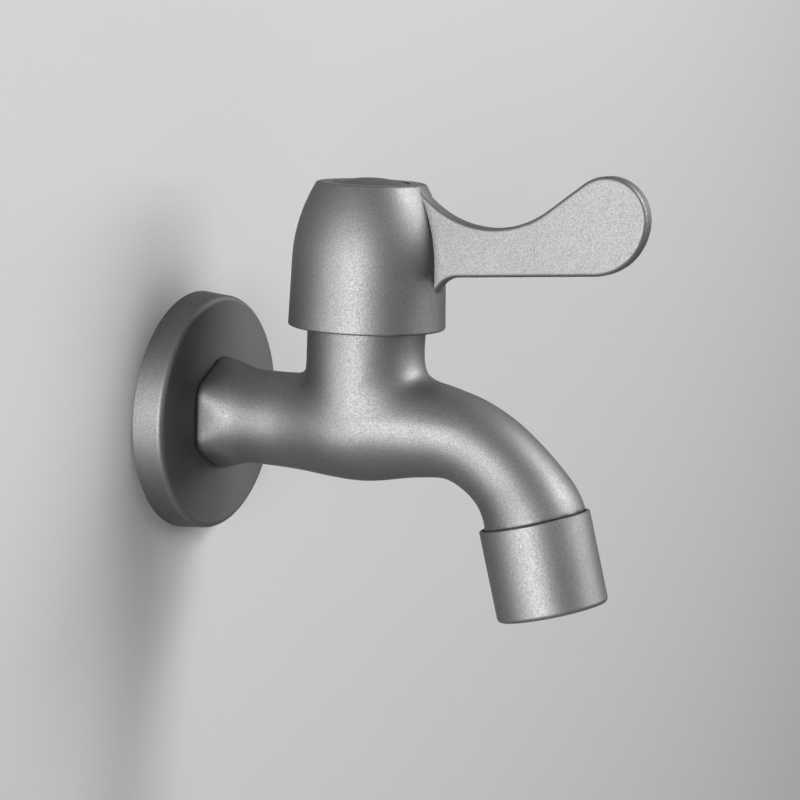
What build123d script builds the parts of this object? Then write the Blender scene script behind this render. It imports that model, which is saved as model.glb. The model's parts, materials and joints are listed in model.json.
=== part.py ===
from build123d import *
import os
from math import acos, asin, atan2, cos, hypot, pi, radians, sin, sqrt

# Wall-mounted basin tap: cast body, cap handle with a flat lever, quarter-turn ceramic
# cartridge and screw-on aerator. Millimetres. The origin is the centre of the wall
# flange's back, on the inlet axis. +X leaves the wall towards the spout, +Z is up.

os.makedirs("parts", exist_ok=True)

# Clearances
running_gap = 0.05
loose_gap = 0.3
seat_gap = 0.02

# Wall flange and inlet
flange_radius = 27.5
flange_front_radius = 26.9
flange_depth = 7.0
flange_sheet = 0.9
flange_edge_radius = 1.3
inlet_thread_radius = 10.4775
inlet_thread_length = 14.0
inlet_lead_chamfer = 1.0
thread_runout = 0.5
thread_relief_radius = 10.2
inlet_bore_radius = 6.5
hex_across_flats = 24.0
hex_length = 9.0
hex_taper = 5.0
hex_edge_radius = 5.0
hex_turned_radius = 13.4
hex_land = 1.2
hex_chamfer = 0.3
hex_blend_sink = 0.06
hex_blend_hollow = 0.25

# Body casting
tube_radius = 10.84
valve_distance = 43.86
belly_drop = 11.8
belly_rise = 13.5
belly_half_width = 14.0
belly_reach = 20.0
neck_radius = 13.32
neck_top = 29.0
neck_edge_chamfer = 0.5
neck_blend_radius = 4.0

# Spout centre line and sizes
spout_root_height = 5.11
spout_dip = 10.2
spout_run = 20.7
spout_bend_radius = 30.9
spout_bend = 50.0
spout_end_bend_radius = 8.0
spout_end_bend = 14.5
spout_end_run = 0.7
spout_radius = 9.7
spout_root_radius = 10.2
spout_root_drop = 9.2
spout_settle_length = 8.0
spout_end_radius = 11.6
spout_flare_length = 13.0
spout_wall = 3.3
outlet_thread_radius = 10.675
outlet_thread_length = 8.0
outlet_bore_radius = 7.6
outlet_bore_lap = 3.0

# Valve chamber
seat_height = 0.5
seat_bore_radius = 4.2
seat_bore_bottom = -9.2
chamber_radius = 10.5
chamber_height = 17.0
neck_thread_radius = 11.0
gallery_height = -5.2
gallery_radius = 3.6
gallery_lap = 6.0
inlet_bore_end_wall = 13.0

# Cartridge
cage_inner_radius = 8.0
cage_outer_radius = 9.3
cage_foot_gap = 1.5
bonnet_hex_across_flats = 24.0
bonnet_hex_height = 4.5
bonnet_collar_radius = 8.0
bonnet_collar_height = 3.7
bonnet_chamfer = 0.4
gasket_thickness = 0.8
seal_height = 4.0
seal_inner_radius = 5.2
seal_chamfer = 0.4
disc_thickness = 3.0
disc_slot_width = 3.6
disc_slot_depth = 1.9
disc_port_inner_radius = 2.2
disc_port_outer_radius = 6.2
disc_port_angle = 80.0
disc_notch_inner_radius = 3.2
driver_thickness = 2.8
driver_gap = 0.3
friction_washer_thickness = 0.8
window_width = 9.0
window_sill = 0.5
spindle_radius = 4.8
spline_radius = 3.95
spline_depth = 0.5
spline_teeth = 20
o_ring_section_radius = 0.58
o_ring_groove_width = 1.9
o_ring_heights = (20.0, 24.5)
circlip_groove_radius = 4.0
circlip_thickness = 0.9
circlip_outer_radius = 6.2
circlip_gap_width = 3.0
thrust_washer_thickness = 0.5
thrust_washer_radius = 6.8
stop_angle = 135.0
stop_rib_angle = 20.0
stop_rib_depth = 1.6
stop_slack = 2.0
handle_travel = 90.0

# Handle cap
cap_bottom = 23.1
cap_top = 55.4
cap_bottom_radius = 17.69
cap_shoulder_height = 38.0
cap_shoulder_radius = 17.2
cap_side_radius = 37.0
cap_wall = 2.2
cap_bottom_fillet = 0.5
cap_top_fillet = 0.7
cap_web = 2.0
socket_outer_radius = 6.2
button_hole_radius = 8.72
button_recess_depth = 5.5
button_gap = 0.25
button_shell = 0.9
button_rise = 1.05
button_rim_drop = 0.35
button_bead_height = 2.2
button_bead_half_width = 0.4

# Lever
lever_reach = 66.15
lever_tip_height = 51.1
lever_tip_radius = 9.2
lever_belly_radius = 12.5
lever_rise_angle = 38.0
lever_rise_run = 10.1
lever_waist_radius = 22.6
lever_under_angle = 4.8
lever_root_radius = 6.0
lever_root_sink = 0.2
lever_top_sink = 0.05
lever_thickness = 4.0
lever_edge_radius = 0.9

# Handle screw with its spring washer
screw_radius = 2.0
screw_length = 7.0
screw_hole_radius = 2.2
screw_head_radius = 3.4
screw_head_height = 2.2
screw_head_fillet = 0.6
screw_recess_width = 0.9
screw_recess_length = 3.6
screw_recess_depth = 1.2
spring_washer_thickness = 0.9
spring_washer_slit = 0.8

# Aerator
collar_length = 20.6
collar_radius = 12.42
collar_relief_radius = 11.8
collar_relief_depth = 1.6
collar_lip_radius = 9.4
collar_lip_height = 1.6
collar_bottom_fillet = 1.0
collar_top_chamfer = 0.2
aerator_washer_thickness = 1.6
aerator_washer_inner_radius = 8.0
housing_radius = 10.7
housing_wall = 1.2
housing_floor = 1.2
grid_hole_radius = 0.85
grid_pitch = 2.0
screen_thickness = 0.4
screen_count = 2
screen_spacing = 1.2
screen_hole = 1.7
screen_pitch = 2.4
diffuser_thickness = 1.0
diffuser_hole_radius = 0.5
diffuser_hole_count = 20
diffuser_hole_circle = 7.2
strainer_radius = 7.2
strainer_rim_height = 1.0
strainer_wall = 0.5
strainer_height = 2.4
strainer_hole_radius = 0.5
strainer_ring_pitch = 2.2
strainer_ring_count = 2


def cross_plane(x, z):
    """A plane across the inlet axis: its x runs along +Y, its y up, its normal along +X."""
    return Plane(origin=(x, 0, z), x_dir=(0, 1, 0), z_dir=(1, 0, 0))


def valve_plane(height):
    """A level plane on the valve's axis."""
    return Plane(origin=(valve_distance, 0, height))


def spout_station(run):
    """Place and slope, in degrees below level, of the spout's centre line after a run."""
    x, z, slope = valve_distance, spout_root_height, radians(spout_dip)
    legs = (
        (spout_run, 0.0),
        (radians(spout_bend) * spout_bend_radius, spout_bend_radius),
        (radians(spout_end_bend) * spout_end_bend_radius, spout_end_bend_radius),
        (spout_end_run, 0.0),
    )
    for length, bend_radius in legs:
        step = min(run, length)
        run -= step
        if bend_radius:
            finish = slope + step / bend_radius
            x += bend_radius * (sin(finish) - sin(slope))
            z -= bend_radius * (cos(slope) - cos(finish))
            slope = finish
        else:
            x += step * cos(slope)
            z -= step * sin(slope)
    return x, z, slope


def spout_plane(run):
    """The plane square to the spout's centre line after a run, its normal downstream."""
    x, z, slope = spout_station(run)
    return Plane(origin=(x, 0, z), x_dir=(0, 1, 0), z_dir=(cos(slope), 0, -sin(slope)))


def outlet_plane(depth):
    """A plane across the outlet, a depth below the collar's top."""
    return spout_plane(spout_length).offset(depth)


def ease(share):
    """A smooth step from 0 to 1."""
    return (1 - cos(pi * min(max(share, 0), 1))) / 2


def sector(radius_in, radius_out, middle, width):
    """Corners of a ring sector, as a polygon fine enough for a stop or a port."""
    steps = max(2, round(width / 8))
    angles = [radians(middle - width / 2 + width * step / steps) for step in range(steps + 1)]
    outer = [(radius_out * cos(angle), radius_out * sin(angle)) for angle in angles]
    inner = [(radius_in * cos(angle), radius_in * sin(angle)) for angle in reversed(angles)]
    return outer + inner


def spline_outline(grow):
    """The toothed outline of the spindle's head, grown by a clearance for its socket."""
    points = []
    for tooth in range(spline_teeth):
        crest_angle = 2 * pi * tooth / spline_teeth
        root_angle = crest_angle + pi / spline_teeth
        crest = spline_radius + grow
        root = spline_radius - spline_depth + grow
        points.append((crest * cos(crest_angle), crest * sin(crest_angle)))
        points.append((root * cos(root_angle), root * sin(root_angle)))
    return points


def cap_side(height, inset):
    """Radius of the cap's curved shoulder at a height, moved inwards by an inset."""
    flank = atan2(cap_bottom_radius - cap_shoulder_radius, cap_shoulder_height - cap_bottom)
    centre_radius = cap_shoulder_radius - cap_side_radius * cos(flank)
    centre_height = cap_shoulder_height - cap_side_radius * sin(flank)
    return centre_radius + sqrt((cap_side_radius - inset) ** 2 - (height - centre_height) ** 2)


# Places worked out from the sizes
hex_corner_radius = hex_across_flats / sqrt(3)
tube_start = flange_depth + hex_length
spout_bend_end = spout_run + radians(spout_bend) * spout_bend_radius
spout_length = spout_bend_end + radians(spout_end_bend) * spout_end_bend_radius + spout_end_run
neck_bore_start = seat_height + chamber_height
valve_axis = Axis((valve_distance, 0, 0), (0, 0, 1))
valve_section = Plane(origin=(valve_distance, 0, 0), x_dir=(1, 0, 0), z_dir=(0, -1, 0))
outlet_axis = Axis(outlet_plane(0).origin, outlet_plane(0).z_dir)

seal_top = seat_height + seal_height
fixed_disc_top = seal_top + disc_thickness
turning_disc_bottom = fixed_disc_top + seat_gap
turning_disc_top = turning_disc_bottom + disc_thickness
driver_bottom = turning_disc_top + driver_gap
driver_top = driver_bottom + driver_thickness
friction_washer_bottom = driver_top + seat_gap
cage_roof = friction_washer_bottom + friction_washer_thickness
bonnet_hex_bottom = neck_top + gasket_thickness
bonnet_top = bonnet_hex_bottom + bonnet_hex_height + bonnet_collar_height
circlip_bottom = bonnet_top + thrust_washer_thickness + running_gap
circlip_top = circlip_bottom + circlip_thickness
spline_bottom = circlip_top + loose_gap
disc_radius = cage_inner_radius - running_gap
driver_radius = cage_inner_radius - 2 * running_gap
stop_inner_radius = cage_inner_radius - stop_rib_depth
o_ring_centre_radius = spindle_radius + running_gap / 2 - o_ring_section_radius

button_recess_floor = cap_top - button_recess_depth
socket_top = button_recess_floor - cap_web
socket_bottom = spline_bottom + running_gap
spindle_top = socket_top - seat_gap

# The wall flange: a stamped cup whose rim stands on the wall
with BuildPart() as wall_flange:
    flange_hole_radius = inlet_thread_radius + running_gap
    with BuildSketch(Plane.XZ):
        with BuildLine():
            Polyline(
                (0, flange_radius - flange_sheet),
                (0, flange_radius),
                (flange_depth, flange_front_radius),
                (flange_depth, flange_hole_radius),
                (flange_depth - flange_sheet, flange_hole_radius),
                (flange_depth - flange_sheet, flange_front_radius - flange_sheet),
                close=True,
            )
        make_face()
        fillet(vertices().group_by(Axis.X)[1].sort_by(Axis.Y)[-1], flange_edge_radius - flange_sheet)
        fillet(vertices().group_by(Axis.X)[-1].sort_by(Axis.Y)[-1], flange_edge_radius)
    revolve(axis=Axis.X)
wall_flange.part.label = "wall_flange"
export_step(wall_flange.part, "parts/wall_flange.step")

# The inlet hexagon: soft edges, tapered, and turned down in a hollow curve to meet the tube
with BuildPart() as inlet_hexagon:
    with BuildSketch(cross_plane(flange_depth, 0)):
        RegularPolygon(hex_corner_radius, 6, rotation=90)
        fillet(vertices(), hex_edge_radius)
    extrude(amount=hex_length, taper=hex_taper)
    land_end = Vector(flange_depth + hex_land, hex_turned_radius)
    blend_foot = Vector(tube_start, tube_radius - hex_blend_sink)
    blend_chord = blend_foot - land_end
    hollow_way = Vector(blend_chord.Y, -blend_chord.X).normalized()
    blend_middle = (land_end + blend_foot) / 2 + hollow_way * hex_blend_hollow
    with BuildSketch(Plane.XZ):
        with BuildLine():
            ThreePointArc(land_end, blend_middle, blend_foot)
            Polyline(
                blend_foot,
                (tube_start, 2 * hex_turned_radius),
                (flange_depth, 2 * hex_turned_radius),
                (flange_depth, hex_turned_radius - hex_chamfer),
                (flange_depth + hex_chamfer, hex_turned_radius),
                land_end,
            )
        make_face()
    revolve(axis=Axis.X, mode=Mode.SUBTRACT)

# The water passage down the spout, swept along its centre line
with BuildPart() as spout_passage:
    passage_radius = spout_radius - spout_wall
    passage_start = 0.8 * sqrt(chamber_radius**2 - passage_radius**2)
    first_bend_middle = (spout_run + spout_bend_end) / 2
    last_bend_end = spout_length - spout_end_run
    last_bend_middle = (spout_bend_end + last_bend_end) / 2
    with BuildLine(Plane.XZ) as passage_line:
        Line(spout_station(passage_start)[:2], spout_station(spout_run)[:2])
        ThreePointArc(
            spout_station(spout_run)[:2],
            spout_station(first_bend_middle)[:2],
            spout_station(spout_bend_end)[:2],
        )
        ThreePointArc(
            spout_station(spout_bend_end)[:2],
            spout_station(last_bend_middle)[:2],
            spout_station(last_bend_end)[:2],
        )
    with BuildSketch(spout_plane(passage_start)):
        Circle(passage_radius)
    sweep(path=passage_line.wire())

# The body casting
with BuildPart() as tap_body:
    # Level tube, belly and spout: one smooth skin through oval sections
    sections = []
    for share in (0, 0.25, 0.5, 0.75, 1):
        offset = belly_reach * (share - 1)
        swell = ease(share)
        half_width = tube_radius + (belly_half_width - tube_radius) * swell
        rise = tube_radius + (belly_rise - tube_radius) * swell
        drop = tube_radius + (belly_drop - tube_radius) * swell
        sections.append((cross_plane(valve_distance + offset, 0), half_width, rise, drop))
    for share in (0, 0.33, 0.67):
        x = flange_depth + (valve_distance - belly_reach - flange_depth) * share
        sections.insert(round(3 * share), (cross_plane(x, 0), tube_radius, tube_radius, tube_radius))
    for share in (0.25, 0.5, 0.75, 1):
        x, z, slope = spout_station(belly_reach * share)
        tilt = slope * share
        reach = (x - valve_distance - spout_radius * sin(tilt)) / belly_reach
        depth = spout_root_drop + (belly_drop - spout_root_drop) * (1 - ease(reach))
        half_width = belly_half_width + (spout_radius + 0.2 - belly_half_width) * ease(share)
        rise = belly_rise - spout_root_height
        rise += (spout_root_radius - rise) * ease(2 * share)
        plane = Plane(origin=(x, 0, z), x_dir=(0, 1, 0), z_dir=(cos(tilt), 0, -sin(tilt)))
        sections.append((plane, half_width, rise, (z + depth) / cos(tilt)))
    for share in (0.17, 0.34, 0.5, 0.65, 0.8, 0.9, 1):
        run = belly_reach + (spout_length - belly_reach) * share
        settle = 1 - ease((run - belly_reach) / spout_settle_length)
        flare = max(0, 1 - (spout_length - run) / spout_flare_length) ** 1.4
        radius = spout_radius + (spout_end_radius - spout_radius) * flare
        rise = radius + (spout_root_radius - spout_radius) * settle
        drop = radius + 2 * (spout_root_radius - spout_radius) * settle
        sections.append((spout_plane(run), radius, rise, drop))
    for plane, half_width, rise, drop in sections:
        half_height = (rise + drop) / 2
        with BuildSketch(plane):
            with Locations((0, (rise - drop) / 2)):
                Ellipse(max(half_width, half_height), half_height)
    loft()
    # The neck stands on the belly, blended in
    with BuildSketch(valve_plane(0)):
        Circle(neck_radius)
    extrude(amount=neck_top)
    neck_seam = tap_body.edges().filter_by(
        lambda edge: all(
            abs(hypot(spot.X - valve_distance, spot.Y) - neck_radius) < 0.01 and spot.Z < neck_top / 1.5
            for spot in (edge @ 0, edge @ 0.5, edge @ 1)
        )
    )
    fillet(neck_seam, neck_blend_radius)
    chamfer(tap_body.edges().group_by(Axis.Z)[-1], neck_edge_chamfer)
    # Inlet end: the hexagon, and the threaded tail behind the flange
    add(inlet_hexagon.part)
    with BuildSketch(cross_plane(-inlet_thread_length, 0)):
        Circle(thread_relief_radius)
    extrude(amount=inlet_thread_length + flange_depth)
    with BuildSketch(cross_plane(-inlet_thread_length, 0)):
        Circle(inlet_thread_radius)
    extrude(amount=inlet_thread_length + thread_runout)
    chamfer(tap_body.edges().group_by(Axis.X)[0], inlet_lead_chamfer)
    # Threaded end of the spout, hidden in the collar, smooth at the thread's pitch radius
    with BuildSketch(outlet_plane(0)):
        Circle(outlet_thread_radius)
    extrude(amount=outlet_thread_length)
    # Waterway: inlet bore, gallery under the seat, seat hole, chamber and spout passage
    with BuildSketch(cross_plane(-inlet_thread_length, 0)):
        Circle(inlet_bore_radius)
    extrude(amount=inlet_thread_length + valve_distance - inlet_bore_end_wall, mode=Mode.SUBTRACT)
    gallery_start = valve_distance - inlet_bore_end_wall - gallery_lap
    with BuildSketch(cross_plane(gallery_start, gallery_height)):
        Circle(gallery_radius)
    extrude(amount=inlet_bore_end_wall + gallery_lap, mode=Mode.SUBTRACT)
    with BuildSketch(valve_plane(seat_bore_bottom)):
        Circle(seat_bore_radius)
    extrude(amount=seat_height - seat_bore_bottom, mode=Mode.SUBTRACT)
    with BuildSketch(valve_plane(seat_height)):
        Circle(chamber_radius)
    extrude(amount=neck_top - seat_height, mode=Mode.SUBTRACT)
    with BuildSketch(valve_plane(neck_bore_start)):
        Circle(neck_thread_radius)
    extrude(amount=neck_top - neck_bore_start, mode=Mode.SUBTRACT)
    add(spout_passage.part, mode=Mode.SUBTRACT)
    with BuildSketch(outlet_plane(outlet_thread_length)):
        Circle(outlet_bore_radius)
    extrude(amount=-outlet_thread_length - outlet_bore_lap, mode=Mode.SUBTRACT)
tap_body.part.label = "tap_body"
export_step(tap_body.part, "parts/tap_body.step")

# Rubber seal under the fixed disc
with BuildPart() as disc_seal:
    with BuildSketch(valve_plane(seat_height)):
        Circle(disc_radius)
        Circle(seal_inner_radius, mode=Mode.SUBTRACT)
    extrude(amount=seal_height)
    chamfer(disc_seal.edges().group_by(Axis.Z)[0], seal_chamfer)
disc_seal.part.label = "disc_seal"
export_step(disc_seal.part, "parts/disc_seal.step")

# Ceramic discs: the fixed one has two ports, the turning one two notches, shut at rest
with BuildPart() as ceramic_disc_fixed:
    with BuildSketch(valve_plane(seal_top)):
        Circle(disc_radius)
        for middle in (90, 270):
            port = sector(disc_port_inner_radius, disc_port_outer_radius, middle, disc_port_angle)
            with BuildLine():
                Polyline(*port, close=True)
            make_face(mode=Mode.SUBTRACT)
    extrude(amount=disc_thickness)
ceramic_disc_fixed.part.label = "ceramic_disc_fixed"
export_step(ceramic_disc_fixed.part, "parts/ceramic_disc_fixed.step")

with BuildPart() as ceramic_disc_turning:
    with BuildSketch(valve_plane(turning_disc_bottom)):
        Circle(disc_radius)
        for middle in (0, 180):
            notch = sector(disc_notch_inner_radius, 2 * disc_radius, middle, disc_port_angle)
            with BuildLine():
                Polyline(*notch, close=True)
            make_face(mode=Mode.SUBTRACT)
    extrude(amount=disc_thickness)
    with BuildSketch(valve_plane(turning_disc_top)):
        Rectangle(disc_slot_width, 2 * disc_radius)
    extrude(amount=-disc_slot_depth, mode=Mode.SUBTRACT)
ceramic_disc_turning.part.label = "ceramic_disc_turning"
export_step(ceramic_disc_turning.part, "parts/ceramic_disc_turning.step")

# Brass bonnet: cage with two windows and a stop rib, thread, hexagon and collar
with BuildPart() as cartridge_bonnet:
    bonnet_thread_radius = neck_thread_radius - seat_gap
    bonnet_bore_radius = spindle_radius + running_gap
    with BuildSketch(valve_section):
        with BuildLine():
            Polyline(
                (cage_inner_radius, seat_height + cage_foot_gap),
                (cage_outer_radius, seat_height + cage_foot_gap),
                (cage_outer_radius, neck_bore_start + loose_gap),
                (bonnet_thread_radius, neck_bore_start + loose_gap),
                (bonnet_thread_radius, bonnet_hex_bottom),
                (bonnet_collar_radius, bonnet_hex_bottom),
                (bonnet_collar_radius, bonnet_top),
                (bonnet_bore_radius, bonnet_top),
                (bonnet_bore_radius, cage_roof),
                (cage_inner_radius, cage_roof),
                close=True,
            )
        make_face()
    revolve(axis=valve_axis)
    chamfer(cartridge_bonnet.edges().group_by(Axis.Z)[-1].filter_by(GeomType.CIRCLE), bonnet_chamfer)
    with BuildSketch(valve_plane(bonnet_hex_bottom)):
        RegularPolygon(bonnet_hex_across_flats / sqrt(3), 6)
        Circle(bonnet_bore_radius, mode=Mode.SUBTRACT)
    extrude(amount=bonnet_hex_height)
    window_bottom = turning_disc_bottom + window_sill
    with BuildSketch(valve_plane(window_bottom)):
        Rectangle(window_width, 4 * cage_outer_radius)
    extrude(amount=driver_top - window_bottom, mode=Mode.SUBTRACT)
    with BuildSketch(valve_plane(driver_bottom)):
        rib_root_radius = (cage_inner_radius + cage_outer_radius) / 2
        with BuildLine():
            Polyline(*sector(stop_inner_radius, rib_root_radius, stop_angle, stop_rib_angle), close=True)
        make_face()
    extrude(amount=driver_thickness)
cartridge_bonnet.part.label = "cartridge_bonnet"
export_step(cartridge_bonnet.part, "parts/cartridge_bonnet.step")

with BuildPart() as bonnet_gasket:
    with BuildSketch(valve_plane(neck_top)):
        Circle(neck_radius - neck_edge_chamfer)
        Circle(neck_thread_radius, mode=Mode.SUBTRACT)
    extrude(amount=gasket_thickness)
bonnet_gasket.part.label = "bonnet_gasket"
export_step(bonnet_gasket.part, "parts/bonnet_gasket.step")

with BuildPart() as friction_washer:
    with BuildSketch(valve_plane(friction_washer_bottom)):
        Circle(disc_radius)
        Circle(bonnet_bore_radius, mode=Mode.SUBTRACT)
    extrude(amount=friction_washer_thickness)
friction_washer.part.label = "friction_washer"
export_step(friction_washer.part, "parts/friction_washer.step")

# Spindle: tongue, driver with its stop cutout, grooved shaft, splined and tapped head
with BuildPart() as cartridge_spindle:
    tongue_radius = stop_inner_radius - loose_gap
    cutout_width = handle_travel + stop_rib_angle + 2 * stop_slack
    with BuildSketch(valve_plane(driver_bottom)):
        Circle(driver_radius)
        with BuildLine():
            Polyline(
                *sector(tongue_radius, 2 * driver_radius, stop_angle - handle_travel / 2, cutout_width),
                close=True,
            )
        make_face(mode=Mode.SUBTRACT)
        Circle(tongue_radius)
    extrude(amount=driver_thickness)
    with BuildSketch(valve_plane(driver_bottom)):
        Rectangle(disc_slot_width - 2 * running_gap, 1.8 * tongue_radius)
    extrude(amount=-(driver_gap + disc_slot_depth - running_gap))
    with BuildSketch(valve_plane(driver_top)):
        Circle(spindle_radius)
    extrude(amount=spline_bottom - driver_top)
    for height in o_ring_heights:
        with BuildSketch(valve_plane(height - o_ring_groove_width / 2)):
            Circle(spindle_radius)
            Circle(o_ring_centre_radius - o_ring_section_radius - seat_gap, mode=Mode.SUBTRACT)
        extrude(amount=o_ring_groove_width, mode=Mode.SUBTRACT)
    with BuildSketch(valve_plane(circlip_bottom)):
        Circle(spindle_radius)
        Circle(circlip_groove_radius, mode=Mode.SUBTRACT)
    extrude(amount=circlip_thickness + running_gap, mode=Mode.SUBTRACT)
    with BuildSketch(valve_plane(spline_bottom)):
        with BuildLine():
            Polyline(*spline_outline(0), close=True)
        make_face()
    extrude(amount=spindle_top - spline_bottom)
    with BuildSketch(valve_plane(spindle_top)):
        Circle(screw_radius + seat_gap)
    extrude(amount=-screw_length, mode=Mode.SUBTRACT)
cartridge_spindle.part.label = "cartridge_spindle"
export_step(cartridge_spindle.part, "parts/cartridge_spindle.step")

with BuildPart() as spindle_o_rings:
    for height in o_ring_heights:
        with Locations((valve_distance, 0, height)):
            Torus(o_ring_centre_radius, o_ring_section_radius)
spindle_o_rings.part.label = "spindle_o_rings"
export_step(spindle_o_rings.part, "parts/spindle_o_rings.step")

with BuildPart() as thrust_washer:
    with BuildSketch(valve_plane(bonnet_top)):
        Circle(thrust_washer_radius)
        Circle(bonnet_bore_radius, mode=Mode.SUBTRACT)
    extrude(amount=thrust_washer_thickness)
thrust_washer.part.label = "thrust_washer"
export_step(thrust_washer.part, "parts/thrust_washer.step")

with BuildPart() as spindle_circlip:
    with BuildSketch(valve_plane(circlip_bottom + seat_gap)):
        Circle(circlip_outer_radius)
        Circle(circlip_groove_radius + seat_gap, mode=Mode.SUBTRACT)
        with Locations((-circlip_outer_radius, 0)):
            Rectangle(2 * (circlip_outer_radius - circlip_groove_radius) + 3, circlip_gap_width,
                      mode=Mode.SUBTRACT)
    extrude(amount=circlip_thickness)
spindle_circlip.part.label = "spindle_circlip"
export_step(spindle_circlip.part, "parts/spindle_circlip.step")

# The lever's flat blade, its edges rounded, before it joins the cap
lever_slope = radians(lever_under_angle)
lever_rise = radians(lever_rise_angle)
tip_centre = Vector(lever_reach - lever_tip_radius, lever_tip_height)
belly_centre = Vector(lever_reach - lever_belly_radius, lever_tip_height)
under_end = belly_centre + Vector(sin(lever_slope), -cos(lever_slope)) * lever_belly_radius
tip_end = tip_centre + Vector(-sin(lever_rise), cos(lever_rise)) * lever_tip_radius
rise_start = tip_end - Vector(cos(lever_rise), sin(lever_rise)) * lever_rise_run
waist_centre = rise_start + Vector(-sin(lever_rise), cos(lever_rise)) * lever_waist_radius
blade_top = cap_top - lever_top_sink
waist_turn = acos((waist_centre.Y - blade_top) / lever_waist_radius)
waist_low = waist_centre - Vector(0, lever_waist_radius)
blade_start = waist_centre - Vector(sin(waist_turn), cos(waist_turn)) * lever_waist_radius
root_x = cap_shoulder_radius - lever_root_sink + lever_root_radius
under_start_x = root_x - lever_root_radius * sin(lever_slope)
under_start = under_end - Vector(1, sin(lever_slope) / cos(lever_slope)) * (under_end.X - under_start_x)
root_centre = under_start + Vector(sin(lever_slope), -cos(lever_slope)) * lever_root_radius
root_end = root_centre - Vector(lever_root_radius, 0)
root_half = (pi / 2 + lever_slope) / 2
root_middle = root_centre + Vector(-cos(root_half), sin(root_half)) * lever_root_radius
belly_half = (pi / 2 - lever_slope) / 2
belly_middle = belly_centre + Vector(cos(belly_half), -sin(belly_half)) * lever_belly_radius
tip_half = (pi / 2 + lever_rise) / 2
tip_middle = tip_centre + Vector(cos(tip_half), sin(tip_half)) * lever_tip_radius

with BuildPart() as lever_blade:
    with BuildSketch(valve_section):
        with BuildLine():
            Line((0, root_end.Y), root_end)
            ThreePointArc(root_end, root_middle, under_start)
            Line(under_start, under_end)
            ThreePointArc(under_end, belly_middle, (lever_reach, lever_tip_height))
            ThreePointArc((lever_reach, lever_tip_height), tip_middle, tip_end)
            Line(tip_end, rise_start)
            ThreePointArc(rise_start, waist_low, blade_start)
            Line(blade_start, (0, blade_start.Y))
            Line((0, blade_start.Y), (0, root_end.Y))
        make_face()
    extrude(amount=lever_thickness / 2, both=True)
    blade_sides = lever_blade.faces().filter_by(Axis.Y)
    fillet(blade_sides.edges(), lever_edge_radius)

# Handle: bell-shaped cap with the lever, a splined socket and the button's recess
with BuildPart() as lever_handle:
    cap_top_radius = cap_side(cap_top, 0)
    cap_middle = (cap_shoulder_height + cap_top) / 2
    with BuildSketch(valve_section):
        with BuildLine():
            Line((0, cap_bottom), (cap_bottom_radius, cap_bottom))
            Line((cap_bottom_radius, cap_bottom), (cap_shoulder_radius, cap_shoulder_height))
            ThreePointArc(
                (cap_shoulder_radius, cap_shoulder_height),
                (cap_side(cap_middle, 0), cap_middle),
                (cap_top_radius, cap_top),
            )
            Line((cap_top_radius, cap_top), (0, cap_top))
            Line((0, cap_top), (0, cap_bottom))
        make_face()
        fillet(vertices().group_by(Axis.Y)[0].sort_by(Axis.X)[-1], cap_bottom_fillet)
        fillet(vertices().group_by(Axis.Y)[-1].sort_by(Axis.X)[-1], cap_top_fillet)
    revolve(axis=valve_axis)
    add(lever_blade.part)
    shoulder_inner = cap_side(cap_shoulder_height, cap_wall)
    cavity_middle = (cap_shoulder_height + socket_top) / 2
    with BuildSketch(valve_section):
        with BuildLine():
            Line((0, cap_bottom), (cap_bottom_radius - cap_wall, cap_bottom))
            Line((cap_bottom_radius - cap_wall, cap_bottom), (shoulder_inner, cap_shoulder_height))
            ThreePointArc(
                (shoulder_inner, cap_shoulder_height),
                (cap_side(cavity_middle, cap_wall), cavity_middle),
                (cap_side(socket_top, cap_wall), socket_top),
            )
            Line((cap_side(socket_top, cap_wall), socket_top), (0, socket_top))
            Line((0, socket_top), (0, cap_bottom))
        make_face()
    revolve(axis=valve_axis, mode=Mode.SUBTRACT)
    with BuildSketch(valve_plane(socket_bottom)):
        Circle(socket_outer_radius)
        with BuildLine():
            Polyline(*spline_outline(running_gap), close=True)
        make_face(mode=Mode.SUBTRACT)
    extrude(amount=socket_top - socket_bottom)
    with BuildSketch(valve_plane(button_recess_floor)):
        Circle(button_hole_radius)
    extrude(amount=button_recess_depth + 1, mode=Mode.SUBTRACT)
    with BuildSketch(valve_plane(socket_top)):
        Circle(screw_hole_radius)
    extrude(amount=cap_web, mode=Mode.SUBTRACT)
lever_handle.part.label = "lever_handle"
export_step(lever_handle.part, "parts/lever_handle.step")

# Spring washer and screw in the bottom of the recess
with BuildPart() as screw_spring_washer:
    with BuildSketch(valve_plane(button_recess_floor)):
        Circle(screw_head_radius)
        Circle(screw_hole_radius, mode=Mode.SUBTRACT)
        with Locations((screw_head_radius, 0)):
            Rectangle(2 * screw_hole_radius, spring_washer_slit, mode=Mode.SUBTRACT)
    extrude(amount=spring_washer_thickness)
screw_spring_washer.part.label = "screw_spring_washer"
export_step(screw_spring_washer.part, "parts/screw_spring_washer.step")

with BuildPart() as handle_screw:
    screw_head_bottom = button_recess_floor + spring_washer_thickness
    with BuildSketch(valve_plane(screw_head_bottom)):
        Circle(screw_head_radius)
    extrude(amount=screw_head_height)
    fillet(handle_screw.edges().group_by(Axis.Z)[-1], screw_head_fillet)
    with BuildSketch(valve_plane(screw_head_bottom + screw_head_height)):
        Rectangle(screw_recess_length, screw_recess_width)
        Rectangle(screw_recess_width, screw_recess_length)
    extrude(amount=-screw_recess_depth, mode=Mode.SUBTRACT)
    shank_bottom = spindle_top - screw_length + loose_gap
    with BuildSketch(valve_plane(shank_bottom)):
        Circle(screw_radius)
    extrude(amount=screw_head_bottom - shank_bottom)
handle_screw.part.label = "handle_screw"
export_step(handle_screw.part, "parts/handle_screw.step")

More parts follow.
